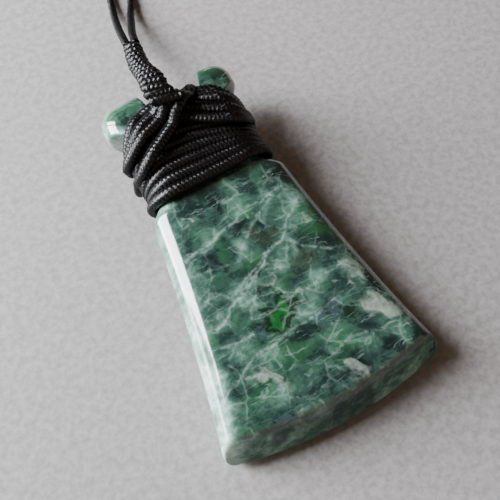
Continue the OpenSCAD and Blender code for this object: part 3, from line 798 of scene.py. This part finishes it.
def row_at(table, v):
    """Smooth curve through the rows of a table, v from 0 to 1."""
    n = len(table)
    f = np.minimum(np.atleast_1d(v), 0.99999) * (n - 1)
    i = f.astype(int)
    u = (f - i)[:, None]
    a, b, c, d = (table[np.clip(i + k, 0, n - 1)] for k in (-1, 0, 1, 2))
    return 0.5 * (2 * b + (c - a) * u + (2 * a - 5 * b + 4 * c - d) * u ** 2
                  + (3 * b - a - 3 * c + d) * u ** 3)


def neck_winding():
    """The wound cord of the neck: one strand round the two cord ends, from the head outwards."""
    stations = np.vstack([NECK_BASE, NECK_STATIONS])
    v = np.linspace(STRAND_FROM, STRAND_TO, NECK_TURNS * TURN_POINTS)
    s = row_at(stations, v)
    s[:, 2] -= NECK_SINK * ease(1 - v / SINK_OVER)
    before, after = row_at(stations, np.maximum(v - 0.01, 0)), row_at(stations, np.minimum(v + 0.01, 1))
    ahead = unit((after - before)[:, :3])
    ahead = unit(ahead + np.outer(ease(1 - v / TILT_OVER), [TILT, 0, 0]))
    side = unit(np.cross(ahead, [0, 0, 1]))
    up = np.cross(side, ahead)
    ang = np.linspace(0, 2 * math.pi * NECK_TURNS, len(v))
    wide = (s[:, 3] * NECK_W / 2 - CORD_R)[:, None]
    high = np.maximum(s[:, 4] / 2 - CORD_R, MIN_HIGH)[:, None]
    out = side * np.cos(ang)[:, None] + up * np.sin(ang)[:, None]
    return s[:, :3] + side * np.cos(ang)[:, None] * wide + up * np.sin(ang)[:, None] * high, unit(out)


# The neck cord, in the part's frame in mm: the line midway between its two strands
FOLD_HI = 89
CORD_ROUTE = [
    # x, y, z, half the distance between the strands
    (0.15, 27.6, 4.6, 0.62), (0.55, 29.9, 3.3, 0.78), (1.05, 32.2, 2.1, 0.95), (1.6, 34.6, 1.1, 1.12),
    (2.4, 37.2, 0.6, 1.35), (2.9, 39.9, 0.55, 1.4), (2.2, 42.6, 0.55, 1.35), (-0.3, 45.0, 0.55, 1.1),
    (-4.0, 47.1, 0.55, 0.8), (-7.4, 49.6, 0.55, 0.65), (-9.7, 53.0, 0.55, 0.65), (-10.4, 57.0, 0.55, 0.65),
    (-10.4, 72.0, 0.55, 0.65), (-10.4, FOLD_HI, 0.55, 0.65), (-9.3, FOLD_HI + 2.8, 0.55, 0.65),
    (-6.5, FOLD_HI + 3.9, 0.55, 0.65), (-3.7, FOLD_HI + 2.8, 0.55, 0.65), (-2.6, FOLD_HI, 0.55, 0.65),
    (-2.6, 72.0, 0.55, 0.65), (-2.6, 57.0, 0.55, 0.65), (-1.5, 54.2, 0.55, 0.65), (1.3, 53.1, 0.55, 0.65),
    (4.1, 54.2, 0.55, 0.65), (5.2, 57.0, 0.55, 0.65), (5.2, 72.0, 0.55, 0.65), (5.2, FOLD_HI, 0.55, 0.65),
    (6.3, FOLD_HI + 2.8, 0.55, 0.65), (9.1, FOLD_HI + 3.9, 0.55, 0.65), (11.9, FOLD_HI + 2.8, 0.55, 0.65),
    (13.0, FOLD_HI, 0.55, 0.65), (13.0, 72.0, 0.55, 0.65), (13.0, 57.0, 0.55, 0.65), (12.8, 48.0, 0.55, 0.8),
    (12.6, 44.0, 0.55, 1.7), (12.5, 41.0, 0.55, 2.8), (12.5, 38.4, 0.55, 2.6), (12.5, 36.9, 0.55, 1.4),
]
CORD_TIP = np.array([12.5, 36.5, 0.55])
# Half the distance between the strands at the neck binding's end, and points along the line
START_HALF, LINE_POINTS, PATH_EVERY = 0.58, 1400, 7


def neck_cord_line():
    """The neck cord's centre line in the part's frame in mm, and its start at the neck binding."""
    neck_end = lie(NECK_STATIONS[-1, :3]) / MM
    neck_dir = unit(neck_end - lie(row_at(NECK_STATIONS, 0.98)[0, :3]) / MM)
    start = neck_end + neck_dir * GAP
    route = np.array(CORD_ROUTE)

    def strand(side):
        line = [start + unit(np.cross(neck_dir, [0, 0, 1])) * side * -START_HALF]
        for i, row in enumerate(route):
            a = route[i - 1, :3] if i else start
            b = route[i + 1, :3] if i < len(route) - 1 else CORD_TIP
            d = unit((b - a)[:2])
            line.append(row[:3] + np.array([-d[1], d[0], 0]) * side * row[3])
        return line

    line = np.array(strand(1) + [CORD_TIP] + strand(-1)[::-1])
    return row_at(line, np.linspace(0, 1, LINE_POINTS)), start


def neck_cord(material):
    line, start = neck_cord_line()
    verts, faces, lay = braided(line, np.tile([0.0, 0.0, 1.0], (len(line), 1)), False, NECK_STEP)
    verts[:, 2] = np.maximum(verts[:, 2], 0.0)
    piece = cord_piece("neck_cord_braid", [(verts * MM, faces, lay)], material, "neck_cord")


def lashings(material):
    waist = [own_braid(*waist_turn(k)) for k in range(WAIST_TURNS)]
    right = [own_braid(*shoulder_turn(row, on_waist)) for row in RIGHT_TURNS + [UNDER_TURN]]
    left = [own_braid(*shoulder_turn(row, over_right)) for row in LEFT_TURNS]
    crossing = [own_braid(*shoulder_turn(CROSSING_LINE, over_right))]
    neck = [own_braid(*neck_winding(), closed=False)]
    cord_piece("waist_turns", waist, material, "waist_binding")
    cord_piece("right_shoulder_turns", right, material, "right_shoulder_binding")
    cord_piece("left_shoulder_turns", left, material, "left_shoulder_binding")
    cord_piece("crossing_cord", crossing, material, "crossing_turn")
    cord_piece("neck_winding", neck, material, "neck_binding")


# Floor and lights
FLOOR_HALF, PULP_GRAIN = 600, 5 / 6


def pale_floor():
    """Smooth pale grey card."""
    material, tree, shader = new_material("pale_card", Roughness=0.75, IOR=1.45)
    # the card's pulp: grains of PULP_GRAIN mm and less, barely seen
    place = add(tree, "TexCoord").outputs["Object"]
    grains = {"Vector": place, "Scale": 1 / (PULP_GRAIN * MM), "Detail": 5.0, "Roughness": 0.7}
    pulp = add(tree, "TexNoise", grains).outputs[0]
    colour = laid_over(tree, hue("#797674"), (("#949190", 1.0, [(pulp, 0.3, 0.7)]),))
    tree.links.new(colour, shader.inputs["Base Color"])
    half = FLOOR_HALF * MM
    points = [(-half, -half, 0), (half, -half, 0), (half, half, 0), (-half, half, 0)]
    floor = new_piece("card_floor", points, [(0, 1, 2, 3)], material, smooth=False)


def soft_light(name, direction, distance, size, power, colour):
    """A rectangle of light in a direction from the part, facing it; distance and size in metres."""
    data = bpy.data.lights.new(name, "AREA")
    data.shape, data.size, data.size_y = "RECTANGLE", size[0], size[1]
    data.energy, data.color = power, hue(colour)[:3]
    light = bpy.data.objects.new(name, data)
    bpy.context.scene.collection.objects.link(light)
    away = unit(direction)
    right = unit(np.cross([0, 0, 1], away))
    up = np.cross(away, right)
    rows = [[right[i], up[i], away[i], away[i] * distance] for i in range(3)]
    light.matrix_world = Matrix(rows + [[0, 0, 0, 1]])


def studio():
    """A tall window on the left, the pale wall below it, and a warm dim room in front."""
    soft_light("window_light", (-0.69, 0.50, 0.48), 0.28, (0.14, 0.23), 5.0, "#f6f8ff")
    soft_light("wall_light", (-0.90, 0.36, 0.18), 0.42, (0.24, 0.14), 1.8, "#f4f8f6")
    soft_light("room_light", (0.25, -0.80, 0.45), 0.45, (0.60, 0.50), 0.4, "#fff0e2")
    world = bpy.data.worlds.new("soft_room")
    world.use_nodes = True
    world.node_tree.nodes["Background"].inputs[0].default_value = hue("#e8bd92")
    world.node_tree.nodes["Background"].inputs[1].default_value = 0.16
    bpy.context.scene.world = world


photo_camera()
cord_black = waxed_braid()
neck_cord(cord_black)
toki_stone()
lashings(cord_black)
pale_floor()
studio()
